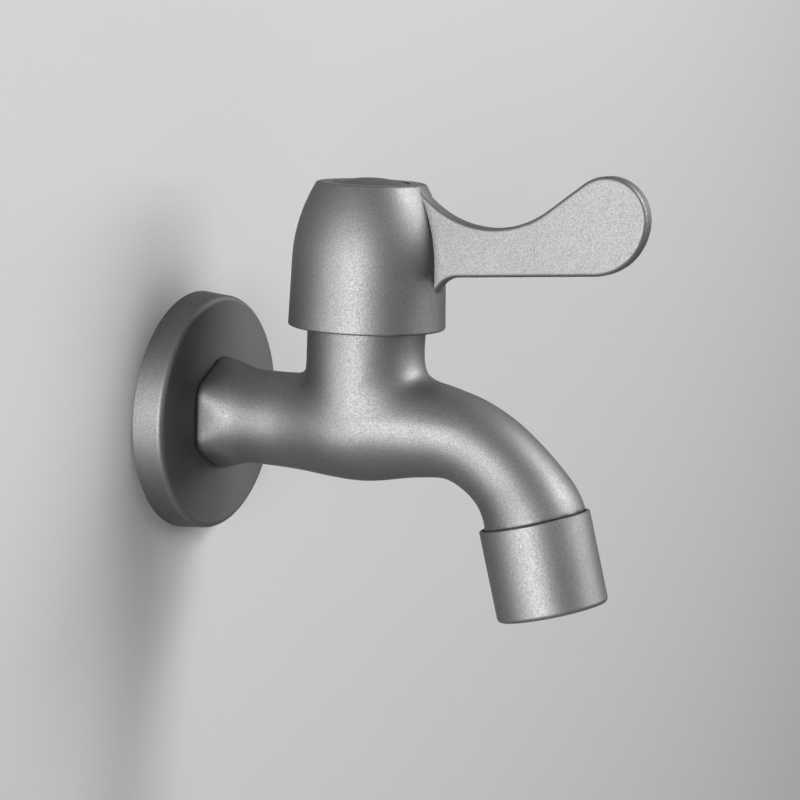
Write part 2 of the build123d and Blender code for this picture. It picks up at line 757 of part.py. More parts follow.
# Domed button with a snap bead, sunk in the cap's top
with BuildPart() as index_button:
    button_radius = button_hole_radius - button_gap
    button_rim = cap_top - button_rim_drop
    button_crown = cap_top + button_rise
    button_foot = button_recess_floor + seat_gap
    bead_centre = button_recess_floor + button_bead_height
    dome_radius = (button_radius**2 + (button_crown - button_rim) ** 2) / (2 * (button_crown - button_rim))
    inner_radius = button_radius - button_shell
    inner_rise = sqrt((dome_radius - button_shell) ** 2 - inner_radius**2)
    inner_rim = button_crown - dome_radius + inner_rise
    half_out = button_radius / 2
    half_in = inner_radius / 2
    dome_centre = button_crown - dome_radius
    with BuildSketch(valve_section):
        with BuildLine():
            Polyline(
                (inner_radius, inner_rim),
                (inner_radius, button_foot),
                (button_radius, button_foot),
                (button_radius, bead_centre - button_bead_half_width),
                (button_hole_radius, bead_centre),
                (button_radius, bead_centre + button_bead_half_width),
                (button_radius, button_rim),
            )
            ThreePointArc(
                (button_radius, button_rim),
                (half_out, dome_centre + sqrt(dome_radius**2 - half_out**2)),
                (0, button_crown),
            )
            Line((0, button_crown), (0, button_crown - button_shell))
            ThreePointArc(
                (0, button_crown - button_shell),
                (half_in, dome_centre + sqrt((dome_radius - button_shell) ** 2 - half_in**2)),
                (inner_radius, inner_rim),
            )
        make_face()
    revolve(axis=valve_axis)
index_button.part.label = "index_button"
export_step(index_button.part, "parts/index_button.step")

# Aerator levels, as depths below the collar's top
washer_top_depth = outlet_thread_length + seat_gap
housing_top_depth = washer_top_depth + aerator_washer_thickness
lip_depth = collar_length - collar_lip_height
housing_length = lip_depth - seat_gap - housing_top_depth
housing_bore_radius = housing_radius - housing_wall
tray_radius = housing_bore_radius - running_gap

with BuildPart() as aerator_collar:
    with BuildSketch(outlet_plane(0)):
        Circle(collar_radius)
    extrude(amount=collar_length)
    fillet(aerator_collar.edges().group_by(outlet_axis)[-1], collar_bottom_fillet)
    chamfer(aerator_collar.edges().group_by(outlet_axis)[0], collar_top_chamfer)
    bores = (
        (collar_relief_radius, 0.0, collar_relief_depth),
        (outlet_thread_radius + running_gap, collar_relief_depth, housing_top_depth),
        (housing_radius + 2 * running_gap, housing_top_depth, lip_depth),
        (collar_lip_radius, lip_depth, collar_length),
    )
    for bore, start, finish in bores:
        with BuildSketch(outlet_plane(start)):
            Circle(bore)
        extrude(amount=finish - start, mode=Mode.SUBTRACT)
aerator_collar.part.label = "aerator_collar"
export_step(aerator_collar.part, "parts/aerator_collar.step")

with BuildPart() as aerator_washer:
    with BuildSketch(outlet_plane(washer_top_depth)):
        Circle(housing_radius)
        Circle(aerator_washer_inner_radius, mode=Mode.SUBTRACT)
    extrude(amount=aerator_washer_thickness)
aerator_washer.part.label = "aerator_washer"
export_step(aerator_washer.part, "parts/aerator_washer.step")

# Insert: a cup with a honeycomb floor, two screens, a diffuser plate and a strainer dome
grid_rows = int(2 * housing_bore_radius / grid_pitch)
with BuildPart() as aerator_housing:
    with BuildSketch(outlet_plane(housing_top_depth)):
        Circle(housing_radius)
    extrude(amount=housing_length)
    with BuildSketch(outlet_plane(housing_top_depth)):
        Circle(housing_bore_radius)
    extrude(amount=housing_length - housing_floor, mode=Mode.SUBTRACT)
    grid_limit = collar_lip_radius - 1.2 * grid_hole_radius
    grid = HexLocations(grid_pitch / 2, grid_rows, grid_rows, major_radius=False).local_locations
    with BuildSketch(outlet_plane(housing_top_depth + housing_length)):
        with Locations(*[spot for spot in grid if spot.position.length < grid_limit]):
            RegularPolygon(grid_hole_radius, 6, rotation=30)
    extrude(amount=-housing_floor, mode=Mode.SUBTRACT)
aerator_housing.part.label = "aerator_housing"
export_step(aerator_housing.part, "parts/aerator_housing.step")

screen_rows = int(2 * tray_radius / screen_pitch)
floor_depth = housing_top_depth + housing_length - housing_floor
mesh = GridLocations(screen_pitch, screen_pitch, screen_rows, screen_rows).local_locations
with BuildPart() as aerator_screens:
    for number in range(screen_count):
        screen_depth = floor_depth - screen_thickness - seat_gap - number * screen_spacing
        with BuildSketch(outlet_plane(screen_depth)):
            Circle(tray_radius)
            with Locations(*[spot for spot in mesh if spot.position.length < tray_radius - screen_hole]):
                Rectangle(screen_hole, screen_hole, mode=Mode.SUBTRACT)
        extrude(amount=screen_thickness)
aerator_screens.part.label = "aerator_screens"
export_step(aerator_screens.part, "parts/aerator_screens.step")

diffuser_depth = housing_top_depth + strainer_rim_height
with BuildPart() as aerator_diffuser:
    with BuildSketch(outlet_plane(diffuser_depth)):
        Circle(tray_radius)
        with PolarLocations(diffuser_hole_circle, diffuser_hole_count):
            Circle(diffuser_hole_radius, mode=Mode.SUBTRACT)
    extrude(amount=diffuser_thickness)
aerator_diffuser.part.label = "aerator_diffuser"
export_step(aerator_diffuser.part, "parts/aerator_diffuser.step")

strainer_sphere = (strainer_radius**2 + strainer_height**2) / (2 * strainer_height)
strainer_foot = outlet_plane(diffuser_depth - seat_gap)
with BuildPart() as aerator_strainer:
    with BuildSketch(strainer_foot):
        Circle(strainer_radius)
    extrude(amount=-2 * strainer_height)
    with Locations(strainer_foot.offset(strainer_sphere - strainer_height)):
        Sphere(strainer_sphere, mode=Mode.INTERSECT)
        Sphere(strainer_sphere - strainer_wall, mode=Mode.SUBTRACT)
    with BuildSketch(strainer_foot):
        Circle(strainer_hole_radius)
        for ring in range(1, strainer_ring_count + 1):
            with PolarLocations(ring * strainer_ring_pitch, 6 * ring):
                Circle(strainer_hole_radius)
    extrude(amount=-2 * strainer_height, mode=Mode.SUBTRACT)
aerator_strainer.part.label = "aerator_strainer"
export_step(aerator_strainer.part, "parts/aerator_strainer.step")
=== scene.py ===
import json
import math

import bmesh
import bpy
from bpy.props import FloatProperty, FloatVectorProperty, IntProperty, PointerProperty
from bpy.types import Operator, Panel, PropertyGroup
from mathutils import Matrix, Vector


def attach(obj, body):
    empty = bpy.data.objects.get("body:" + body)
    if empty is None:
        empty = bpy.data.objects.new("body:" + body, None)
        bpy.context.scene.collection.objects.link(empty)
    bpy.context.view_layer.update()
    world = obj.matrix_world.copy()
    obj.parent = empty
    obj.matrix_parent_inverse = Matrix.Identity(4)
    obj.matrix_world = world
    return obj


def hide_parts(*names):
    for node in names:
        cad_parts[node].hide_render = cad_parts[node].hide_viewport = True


bl_info = {
    "name": "Wall-mounted basin tap",
    "version": (1, 0, 0),
    "blender": (4, 5, 0),
    "location": "View3D > Sidebar > Tap",
    "description": "Dresses the packed tap with its skin, threads, finishes and stage",
    "category": "Object",
}

MM = 0.001
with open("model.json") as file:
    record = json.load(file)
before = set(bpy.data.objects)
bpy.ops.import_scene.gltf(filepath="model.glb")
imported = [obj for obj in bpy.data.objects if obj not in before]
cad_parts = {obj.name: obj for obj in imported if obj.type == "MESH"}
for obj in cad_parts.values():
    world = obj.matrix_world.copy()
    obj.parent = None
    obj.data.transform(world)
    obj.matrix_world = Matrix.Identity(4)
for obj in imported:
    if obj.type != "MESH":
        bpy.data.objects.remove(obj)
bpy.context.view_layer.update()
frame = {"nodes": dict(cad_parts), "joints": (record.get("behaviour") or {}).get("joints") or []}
NODES = frame["nodes"]
OUTLET = next(joint for joint in frame["joints"] if joint["name"] == "collar_turn")
OUTLET_TOP = Vector(OUTLET["pos_m"])
OUTLET_AXIS = Vector(OUTLET["axis"]).normalized()
VALVE = Vector(next(joint for joint in frame["joints"] if joint["name"] == "handle_turn")["pos_m"])
FORWARD = Vector((1, 0, 0))
UP = Vector((0, 0, 1))
# The photo's view: the camera's place, its azimuth, elevation and roll, and its lens in mm
CAMERA_PLACE = Vector((315.44, -548.45, 99.13)) * MM
CAMERA_TURN = tuple(math.radians(angle) for angle in (25.59, 8.59, 2.07))
CAMERA_LENS = 123.72
# What the lamps are aimed at, near the middle of the tap
MIDDLE = Vector((50, 0, 5)) * MM


def linear(code):
    """An sRGB hex colour as linear red, green, blue and alpha."""
    parts = [int(code[start:start + 2], 16) / 255 for start in (0, 2, 4)]
    return tuple(p / 12.92 if p <= 0.04045 else ((p + 0.055) / 1.055) ** 2.4 for p in parts) + (1.0,)


def colour(name, note, code):
    """A colour property from an sRGB hex value."""
    return FloatVectorProperty(
        name=name, description=note, subtype="COLOR", size=4, min=0, max=1, default=linear(code)
    )


def length(name, note, millimetres):
    """A length property from millimetres."""
    return FloatProperty(
        name=name, description=note, unit="LENGTH", precision=5, min=0, default=millimetres * MM
    )


def power(name, note, watts):
    """A lamp's power property, in watts."""
    return FloatProperty(name=name, description=note, unit="POWER", min=0, default=watts)


class TapFinish(PropertyGroup):
    body: colour("Body steel", "Blasted steel of the body", "6f6f70")
    flange: colour("Flange steel", "Blasted steel of the flange", "6c6c6d")
    handle: colour("Handle steel", "Blasted steel of the cap and lever", "6f6f70")
    button: colour("Button steel", "Blasted steel of the button", "6a6a6b")
    collar: colour("Collar steel", "Blasted steel of the aerator's collar", "737374")
    # A real dimple is about 0.1 mm across, and is drawn three times as wide so that it shows
    grain: length("Blast grain", "Width of one dimple of the blasting, as drawn", 0.32)
    grain_depth: length("Dimple depth", "Depth of one dimple of the blasting, as drawn", 0.010)
    grain_contrast: FloatProperty(
        name="Grain contrast",
        description="How much lighter or darker a dimple is",
        subtype="FACTOR",
        min=0,
        max=1,
        default=0.22,
    )


class TapSizes(PropertyGroup):
    skin_grid: length("Skin grid", "Spacing of the body's skin mesh", 0.4)
    skin_passes: IntProperty(
        name="Skin passes", description="Smoothing of the whole skin on its grid", min=0, default=8
    )
    blend_passes: IntProperty(
        name="Blend passes", description="Smoothing of the neck's sides into the belly", min=0, default=130
    )
    hexagon_passes: IntProperty(
        name="Hexagon passes", description="Smoothing of the inlet hexagon into the tube", min=0, default=40
    )
    inlet_pitch: length("Inlet pitch", "Pitch of the G1/2 thread", 1.814)
    outlet_pitch: length("Outlet pitch", "Pitch of the M22 thread", 1.0)


class TapStage(PropertyGroup):
    wall: colour("Wall", "Matt paint of the wall", "acacac")
    floor: colour("Floor", "Matt paint of the floor", "d0d0d0")
    key: power("Key lamp", "Power of the soft lamp in front", 12.3)
    side: power("Side lamp", "Power of the large lamp at the right", 9.5)
    spot: power("Spot lamp", "Power of the small lamp at the upper right", 5.2)
    back: power("Back lamp", "Power of the large lamp behind the wall", 9.0)
    backdrop: FloatProperty(
        name="Backdrop", description="Brightness of the surroundings as seen or mirrored", min=0, default=0.4
    )
    fill: FloatProperty(name="Surrounding light", description="Strength of the world", min=0, default=0.07)


def add(tree, kind, settings=None, links=None):
    """Adds a node with its settings, by socket or attribute, and its links, by socket."""
    node = tree.nodes.new(kind)
    for name, value in (settings or {}).items():
        if isinstance(name, int) or name in node.inputs:
            node.inputs[name].default_value = value
        else:
            setattr(node, name, value)
    for name, source in (links or {}).items():
        tree.links.new(source, node.inputs[name])
    return node


def empty_material(name):
    """A new material with nothing but its output."""
    material = bpy.data.materials.new(name)
    material.use_nodes = True
    material.node_tree.nodes.clear()
    output = add(material.node_tree, "ShaderNodeOutputMaterial")
    return material, material.node_tree, output.inputs["Surface"]


def scaled(tint, share):
    """A colour made lighter or darker."""
    return tuple(min(1.0, part * share) for part in tint[:3]) + (1.0,)


def grainy(name, tint, contrast, grain, depth, metallic, roughness, stretch=(1, 1, 1), edge=1.0):
    """A material with one fine grain in its colour, its roughness and its relief.

    A second pattern, 22 mm broad and of low contrast, keeps large faces from looking printed.
    The edge value tints what is mirrored at a flat angle.
    """
    material, tree, surface = empty_material(name)
    place = add(tree, "ShaderNodeTexCoord").outputs["Object"]
    turned = add(tree, "ShaderNodeMapping", {"Scale": stretch}, {"Vector": place}).outputs["Vector"]
    fine = add(
        tree, "ShaderNodeTexNoise", {"Scale": 1 / grain, "Detail": 2.0, "Roughness": 0.6}, {"Vector": turned}
    ).outputs["Fac"]
    broad = add(
        tree, "ShaderNodeTexNoise", {"Scale": 1 / (22 * MM), "Detail": 3.0}, {"Vector": place}
    ).outputs["Fac"]
    spread = add(
        tree, "ShaderNodeMapRange", {"From Min": 0.28, "From Max": 0.72}, {"Value": fine}
    ).outputs["Result"]
    speckle = add(
        tree,
        "ShaderNodeMix",
        {"data_type": "RGBA", 6: scaled(tint, 1 - contrast), 7: scaled(tint, 1 + contrast)},
        {0: spread},
    ).outputs[2]
    drift = add(
        tree,
        "ShaderNodeMapRange",
        {"From Min": 0.3, "From Max": 0.7, "To Min": 0.94, "To Max": 1.06},
        {"Value": broad},
    ).outputs["Result"]
    tone = add(
        tree, "ShaderNodeVectorMath", {"operation": "SCALE"}, {0: speckle, "Scale": drift}
    ).outputs["Vector"]
    gloss = add(
        tree,
        "ShaderNodeMapRange",
        {"To Min": roughness + 0.06, "To Max": roughness - 0.06},
        {"Value": spread},
    ).outputs["Result"]
    relief = add(
        tree, "ShaderNodeBump", {"Strength": 1.0, "Distance": depth}, {"Height": fine}
    ).outputs["Normal"]
    shader = add(
        tree,
        "ShaderNodeBsdfPrincipled",
        {"Metallic": metallic, "Specular Tint": (edge, edge, edge, 1.0)},
        {"Base Color": tone, "Roughness": gloss, "Normal": relief},
    )
    tree.links.new(shader.outputs["BSDF"], surface)
    return material


def blasted_steel(name, tint):
    """Stainless steel, blasted with glass beads: a soft grey sheen with a fine, even speckle.

    Its pits trap light seen along the surface, so it is darker there than smooth steel.
    """
    finish = bpy.context.scene.tap_finish
    return grainy(
        name, tint, finish.grain_contrast, finish.grain, finish.grain_depth, 1.0, 0.54, edge=0.45
    )


def dress(name, material):
    """Gives a CAD node its material."""
    slots = NODES[name].data.materials
    slots.clear()
    slots.append(material)


def place_piece(name, bm, material, body, node, crease):
    """Makes a finished piece from a bmesh: named, shaded, at the origin and riding on its body."""
    mesh = bpy.data.meshes.new(name)
    bm.to_mesh(mesh)
    bm.free()
    mesh.shade_smooth()
    mesh.set_sharp_from_angle(angle=math.radians(crease))
    mesh.materials.append(material)
    piece = bpy.data.objects.new(name, mesh)
    bpy.context.scene.collection.objects.link(piece)
    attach(piece, body)
    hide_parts(node)


def cut(bm, point, normal):
    """Cuts a mesh at a plane and drops what lies beyond it, on the normal's side."""
    geom = bm.verts[:] + bm.edges[:] + bm.faces[:]
    bmesh.ops.bisect_plane(
        bm, geom=geom, dist=0.0001 * MM, plane_co=point, plane_no=normal, clear_outer=True
    )


def open_rim(bm, level, way):
    """The open edges that lie in the plane of one end."""
    return [
        edge for edge in bm.edges
        if edge.is_boundary and (edge.verts[0].co - level).length < 20 * MM
        and all(abs((vert.co - level).dot(way)) < 0.01 * MM for vert in edge.verts)
    ]


def lengthen(bm, rim, step):
    """Carries the open rim of a tube on by a step."""
    grown = bmesh.ops.extrude_edge_only(bm, edges=rim)["geom"]
    lifted = [item for item in grown if isinstance(item, bmesh.types.BMVert)]
    bmesh.ops.translate(bm, verts=lifted, vec=step)


def shell_of(bm, start):
    """The vertices joined to a start vertex."""
    seen = {start}
    waiting = [start]
    while waiting:
        for edge in waiting.pop().link_edges:
            for vert in edge.verts:
                if vert not in seen:
                    seen.add(vert)
                    waiting.append(vert)
    return seen


def merged_copy(name):
    """A CAD node's mesh with its loose triangles joined."""
    bm = bmesh.new()
    bm.from_mesh(NODES[name].data)
    bmesh.ops.remove_doubles(bm, verts=bm.verts, dist=0.002 * MM)
    return bm


def regrid(bm, spacing):
    """The same closed skin on an even grid of small squares."""
    rough = bpy.data.meshes.new("rough_skin")
    bm.to_mesh(rough)
    bm.free()
    holder = bpy.data.objects.new("rough_skin", rough)
    bpy.context.scene.collection.objects.link(holder)
    grid = holder.modifiers.new("Grid", "REMESH")
    grid.mode = "VOXEL"
    grid.voxel_size = spacing
    graph = bpy.context.evaluated_depsgraph_get()
    even = bpy.data.meshes.new_from_object(holder.evaluated_get(graph))
    result = bmesh.new()
    result.from_mesh(even)
    bpy.data.objects.remove(holder)
    bpy.data.meshes.remove(rough)
    bpy.data.meshes.remove(even)
    return result


def smoothed(bm, verts, passes):
    """Evens out some vertices of a skin."""
    for _ in range(passes):
        bmesh.ops.smooth_vert(
            bm, verts=verts, factor=0.5, use_axis_x=True, use_axis_y=True, use_axis_z=True
        )


def ease_skin(bm, zone, passes):
    """Evens out a zone of a skin, in steps.

    The zone is told the share of the steps that are done, and shrinks with it, so that its
    border doesn't show. It measures from the valve's centre.
    """
    steps = 10
    for step in range(steps):
        inside = [vert for vert in bm.verts if zone(vert.co - VALVE, step / steps)]
        smoothed(bm, inside, passes // steps)


def in_flanks(spot, share):
    """Where the neck's sides run down into the belly."""
    near = abs(spot.x) < (21 - 4 * share) * MM
    return near and abs(spot.y) > (5 + 4 * share) * MM and spot.z < (22 - 3 * share) * MM


def in_throat(spot, share):
    """Where the neck's front turns into the spout."""
    near = (4 + 4 * share) * MM < spot.x < (28 - 4 * share) * MM
    return near and (4 + 3 * share) * MM < spot.z < (22 - 3 * share) * MM


def in_hexagon(spot, share):
    """Where the inlet hexagon runs into the tube."""
    start = spot.x + VALVE.x
    return (8.5 + share) * MM < start < (21 - 3 * share) * MM


# The body's three open ends: a point in the straight part, the way out, and where the end is cut
ENDS = (
    (Vector((4 * MM, 0, 0)), -FORWARD, 2 * MM),
    (OUTLET_TOP + OUTLET_AXIS * 2 * MM, OUTLET_AXIS, -1 * MM),
    (VALVE + UP * 27 * MM, UP, 2 * MM),
)


class TAP_OT_body_casting(Operator):
    """Body casting: its skin on an even grid, the neck's sides eased into the belly."""

    bl_idname = "tap.body_casting"
    bl_label = "Body casting"

    def execute(self, context):
        sizes = context.scene.tap_sizes
        outer = merged_copy("tap_body")
        for point, way, _ in ENDS:
            cut(outer, point, way)
        # The three cuts part the outside from the waterways
        widest = max(outer.verts, key=lambda vert: abs(vert.co.y))
        skin = shell_of(outer, widest)
        inner = outer.copy()
        outer.verts.index_update()
        kept = {vert.index for vert in skin}
        inner.verts.ensure_lookup_table()
        bmesh.ops.delete(inner, geom=[inner.verts[index] for index in kept], context="VERTS")
        bmesh.ops.delete(outer, geom=[vert for vert in outer.verts if vert not in skin], context="VERTS")
        # The outside is closed a little beyond its ends, put on an even grid, eased and cut back
        for point, way, _ in ENDS:
            lengthen(outer, open_rim(outer, point, way), way * 4 * MM)
        bmesh.ops.holes_fill(outer, edges=[edge for edge in outer.edges if edge.is_boundary], sides=0)
        bmesh.ops.recalc_face_normals(outer, faces=outer.faces)
        outer = regrid(outer, sizes.skin_grid)
        smoothed(outer, outer.verts, sizes.skin_passes)
        ease_skin(outer, in_flanks, sizes.blend_passes)
        ease_skin(outer, in_throat, sizes.blend_passes)
        ease_skin(outer, in_hexagon, sizes.hexagon_passes)
        for point, way, reach in ENDS:
            cut(outer, point + way * reach, way)
        # The waterways are cut back or carried on as far as the outside
        for point, way, reach in ENDS:
            if reach < 0:
                cut(inner, point + way * reach, way)
            else:
                lengthen(inner, open_rim(inner, point, way), way * reach)
        loose = bpy.data.meshes.new("waterways")
        inner.to_mesh(loose)
        inner.free()
        outer.from_mesh(loose)
        bpy.data.meshes.remove(loose)
        for point, way, reach in ENDS:
            ring = open_rim(outer, point + way * reach, way)
            bmesh.ops.triangle_fill(outer, edges=ring, use_beauty=True, normal=way)
        bmesh.ops.recalc_face_normals(outer, faces=outer.faces)
        if not all(edge.is_manifold for edge in outer.edges):
            raise RuntimeError("The body casting isn't closed")
        steel = blasted_steel("Stainless steel, bead-blasted body", context.scene.tap_finish.body)
        place_piece("body_casting", outer, steel, "tap", "tap_body", crease=35)
        return {"FINISHED"}


def threaded_tail(start, way, reach, bore, root, crest, pitch, lead):
    """A tube with a helical ridge outside, from a start point along its way.

    The bore, root and crest are radii, and the lead is the chamfer at the tube's mouth.
    """
    bm = bmesh.new()
    side = Vector((0, 1, 0))
    profile = [(0, bore), (0, root), (reach - lead, root), (reach, root - lead), (reach, bore)]
    corners = [bm.verts.new(start + way * along + side * out) for along, out in profile]
    edges = [bm.edges.new(pair) for pair in zip(corners, corners[1:] + corners[:1])]
    bmesh.ops.spin(
        bm, geom=corners + edges, cent=start, axis=way, dvec=(0, 0, 0), angle=2 * math.pi, steps=96,
        use_merge=True,
    )
    turns = (reach - lead - pitch) / pitch
    steps_per_turn = 72
    steps = int(turns * steps_per_turn)
    flank = 0.44 * pitch
    foot = root - 0.03 * MM
    ridge_profile = [(0, foot), (flank, crest), (pitch - flank, crest), (pitch, foot)]
    ridge = [bm.verts.new(start + way * along + side * out) for along, out in ridge_profile]
    face = bm.faces.new(ridge)
    bmesh.ops.spin(
        bm, geom=[face] + ridge + face.edges[:], cent=start, axis=way,
        dvec=way * (turns * pitch / steps), angle=2 * math.pi * turns, steps=steps, use_merge=False,
    )
    bmesh.ops.recalc_face_normals(bm, faces=bm.faces)
    return bm


class TAP_OT_threads(Operator):
    """Threaded ends of the body: the tail in the wall and the end under the collar."""

    bl_idname = "tap.threads"
    bl_label = "Threaded ends"

    def execute(self, context):
        sizes = context.scene.tap_sizes
        # Stainless steel, turned on a lathe: brighter and smoother than the blasted skin
        turned = grainy(
            "Stainless steel, turned thread", linear("a9a9aa"), 0.08, 0.25 * MM, 0.004 * MM, 1.0, 0.3,
            stretch=(1, 0.2, 0.2),
        )
        tail = threaded_tail(
            start=Vector((2 * MM, 0, 0)), way=-FORWARD, reach=16 * MM,
            bore=6.5 * MM, root=9.36 * MM, crest=10.47 * MM, pitch=sizes.inlet_pitch, lead=1.0 * MM,
        )
        place_piece("inlet_tail", tail, turned, "tap", "tap_body", crease=30)
        end = threaded_tail(
            start=OUTLET_TOP + OUTLET_AXIS * 1.0 * MM, way=OUTLET_AXIS, reach=7 * MM,
            bore=7.6 * MM, root=10.12 * MM, crest=10.67 * MM, pitch=sizes.outlet_pitch, lead=0.5 * MM,
        )
        place_piece("outlet_end", end, turned, "tap", "tap_body", crease=30)
        return {"FINISHED"}


class TAP_OT_flange(Operator):
    """Wall flange: stamped sheet, blasted."""

    bl_idname = "tap.flange"
    bl_label = "Wall flange"

    def execute(self, context):
        finish = context.scene.tap_finish
        dress("wall_flange", blasted_steel("Stainless steel, bead-blasted flange", finish.flange))
        return {"FINISHED"}


class TAP_OT_handle(Operator):
    """Handle: cap with lever, button, screw and washer."""

    bl_idname = "tap.handle"
    bl_label = "Handle"

    def execute(self, context):
        finish = context.scene.tap_finish
        dress("lever_handle", blasted_steel("Stainless steel, bead-blasted handle", finish.handle))
        dress("index_button", blasted_steel("Stainless steel, bead-blasted button", finish.button))
        # Stainless steel, machined and tumbled: bright, with fine turning marks
        screw = grainy(
            "Stainless steel, machined screw", linear("c4c4c6"), 0.06, 0.2 * MM, 0.002 * MM, 1.0, 0.28
        )
        dress("handle_screw", screw)
        dress("screw_spring_washer", screw)
        return {"FINISHED"}


class TAP_OT_aerator(Operator):
    """Aerator: collar, insert, screens, diffuser, strainer and washer."""

    bl_idname = "tap.aerator"
    bl_label = "Aerator"

    def execute(self, context):
        finish = context.scene.tap_finish
        dress("aerator_collar", blasted_steel("Stainless steel, bead-blasted collar", finish.collar))
        # Acetal, moulded: milky, with a faint satin skin
        acetal = grainy("Acetal, moulded insert", linear("e3e2dd"), 0.03, 0.6 * MM, 0.003 * MM, 0.0, 0.42)
        for name in ("aerator_housing", "aerator_diffuser", "aerator_strainer"):
            dress(name, acetal)
        # Stainless steel wire, woven: bright threads
        dress(
            "aerator_screens",
            grainy("Stainless steel, woven mesh", linear("c0c0c2"), 0.15, 0.25 * MM, 0.01 * MM, 1.0, 0.3),
        )
        # Nitrile rubber, moulded: matt black
        dress(
            "aerator_washer",
            grainy("Nitrile rubber, moulded washer", linear("262626"), 0.1, 0.5 * MM, 0.006 * MM, 0.0, 0.7),
        )
        return {"FINISHED"}


class TAP_OT_cartridge(Operator):
    """Cartridge: bonnet, spindle, discs, seals and clips."""

    bl_idname = "tap.cartridge"
    bl_label = "Cartridge"

    def execute(self, context):
        # Brass, turned: warm yellow, fine rings from the lathe
        brass = grainy(
            "Brass, turned", linear("d8b46a"), 0.06, 0.3 * MM, 0.003 * MM, 1.0, 0.28, stretch=(0.3, 0.3, 1)
        )
        # Alumina, lapped: off-white, with a low gloss
        alumina = grainy("Alumina, lapped", linear("efece2"), 0.02, 0.4 * MM, 0.001 * MM, 0.0, 0.22)
        # Nylon, moulded: ivory, waxy
        nylon = grainy("Nylon, moulded", linear("e9e4d4"), 0.03, 0.5 * MM, 0.003 * MM, 0.0, 0.45)
        # Vulcanised fibre, punched: dull red, slightly fibrous
        fibre = grainy(
            "Vulcanised fibre, punched", linear("8a3428"), 0.18, 0.4 * MM, 0.012 * MM, 0.0, 0.8,
            stretch=(0.3, 1, 1),
        )
        # Spring steel, stamped: dark, lightly oiled
        spring = grainy("Spring steel, stamped", linear("6c6c70"), 0.08, 0.3 * MM, 0.004 * MM, 1.0, 0.32)
        # Nitrile rubber, moulded: matt black
        rubber = grainy("Nitrile rubber, moulded", linear("242424"), 0.1, 0.5 * MM, 0.006 * MM, 0.0, 0.65)
        kit = {
            "cartridge_bonnet": brass,
            "cartridge_spindle": brass,
            "ceramic_disc_fixed": alumina,
            "ceramic_disc_turning": alumina,
            "friction_washer": nylon,
            "thrust_washer": nylon,
            "bonnet_gasket": fibre,
            "spindle_circlip": spring,
            "disc_seal": rubber,
            "spindle_o_rings": rubber,
        }
        for name, material in kit.items():
            dress(name, material)
        return {"FINISHED"}


def looked_at(tree):
    """1 where the camera, a mirroring surface or glass looks, and 0 for light that only falls."""
    rays = add(tree, "ShaderNodeLightPath").outputs
    maximum = {"operation": "MAXIMUM"}
    through = {0: rays["Is Glossy Ray"], 1: rays["Is Transmission Ray"]}
    seen = add(tree, "ShaderNodeMath", maximum, through).outputs["Value"]
    return add(tree, "ShaderNodeMath", maximum, {0: seen, 1: rays["Is Camera Ray"]}).outputs["Value"]


def matt_paint(name, tint, painted_shade_rate=(0, 0, 0), ground=0.0, one_sided=False):
    """Emulsion paint, rolled: matt, with a barely visible stipple.

    The painted shade slope says how much lighter the colour is painted per metre, and the ground
    the share of its own colour that shows wherever the lamps don't reach.
    """
    material, tree, surface = empty_material(name)
    place = add(tree, "ShaderNodeTexCoord").outputs["Object"]
    cloud = add(tree, "ShaderNodeTexNoise", {"Scale": 3.0, "Detail": 3.0}, {"Vector": place}).outputs["Fac"]
    tone = add(
        tree,
        "ShaderNodeMix",
        {"data_type": "RGBA", 6: scaled(tint, 0.98), 7: scaled(tint, 1.02)},
        {0: cloud},
    ).outputs[2]
    # Painted shade: the colour is made lighter or darker by position along the slope, standing in for light
    # falling off
    painted_shade_gain = add(
        tree, "ShaderNodeVectorMath", {"operation": "DOT_PRODUCT", 1: painted_shade_rate}, {0: place}
    ).outputs["Value"]
    level = add(tree, "ShaderNodeMath", {"operation": "ADD", 1: 1.0}, {0: painted_shade_gain}).outputs["Value"]
    tone = add(
        tree, "ShaderNodeVectorMath", {"operation": "SCALE"}, {0: tone, "Scale": level}
    ).outputs["Vector"]
    paint = add(
        tree, "ShaderNodeBsdfPrincipled", {"Roughness": 0.9, "Specular IOR Level": 0.2}, {"Base Color": tone}
    ).outputs["BSDF"]
    if ground:
        even = add(tree, "ShaderNodeEmission", None, {"Color": tone}).outputs["Emission"]
        part = {"operation": "MULTIPLY", 1: ground}
        share = add(tree, "ShaderNodeMath", part, {0: looked_at(tree)}).outputs["Value"]
        paint = add(tree, "ShaderNodeMixShader", None, {0: share, 1: paint, 2: even}).outputs["Shader"]
    if one_sided:
        # Seen from behind, the wall is clear, so that the back of the tap shows, and it throws
        # no shadow, so that the soft lamp also lights the side near the wall
        clear = add(tree, "ShaderNodeBsdfTransparent").outputs["BSDF"]
        back = add(tree, "ShaderNodeNewGeometry").outputs["Backfacing"]
        shadow = add(tree, "ShaderNodeLightPath").outputs["Is Shadow Ray"]
        through = add(tree, "ShaderNodeMath", {"operation": "MAXIMUM"}, {0: back, 1: shadow}).outputs["Value"]
        paint = add(tree, "ShaderNodeMixShader", None, {0: through, 1: paint, 2: clear}).outputs["Shader"]
    tree.links.new(paint, surface)
    return material


def bearing(azimuth, elevation):
    """The direction at an azimuth, from the tap's side at -Y round to its front, and an elevation."""
    level = math.cos(elevation)
    return Vector((math.sin(azimuth) * level, -math.cos(azimuth) * level, math.sin(elevation)))


def panel(name, size, turn, material):
    """A flat square of the stage, placed by its own matrix."""
    bm = bmesh.new()
    bmesh.ops.create_grid(bm, x_segments=1, y_segments=1, size=size / 2)
    bmesh.ops.transform(bm, matrix=turn, verts=bm.verts)
    mesh = bpy.data.meshes.new(name)
    bm.to_mesh(mesh)
    bm.free()
    mesh.materials.append(material)
    flat = bpy.data.objects.new(name, mesh)
    bpy.context.scene.collection.objects.link(flat)


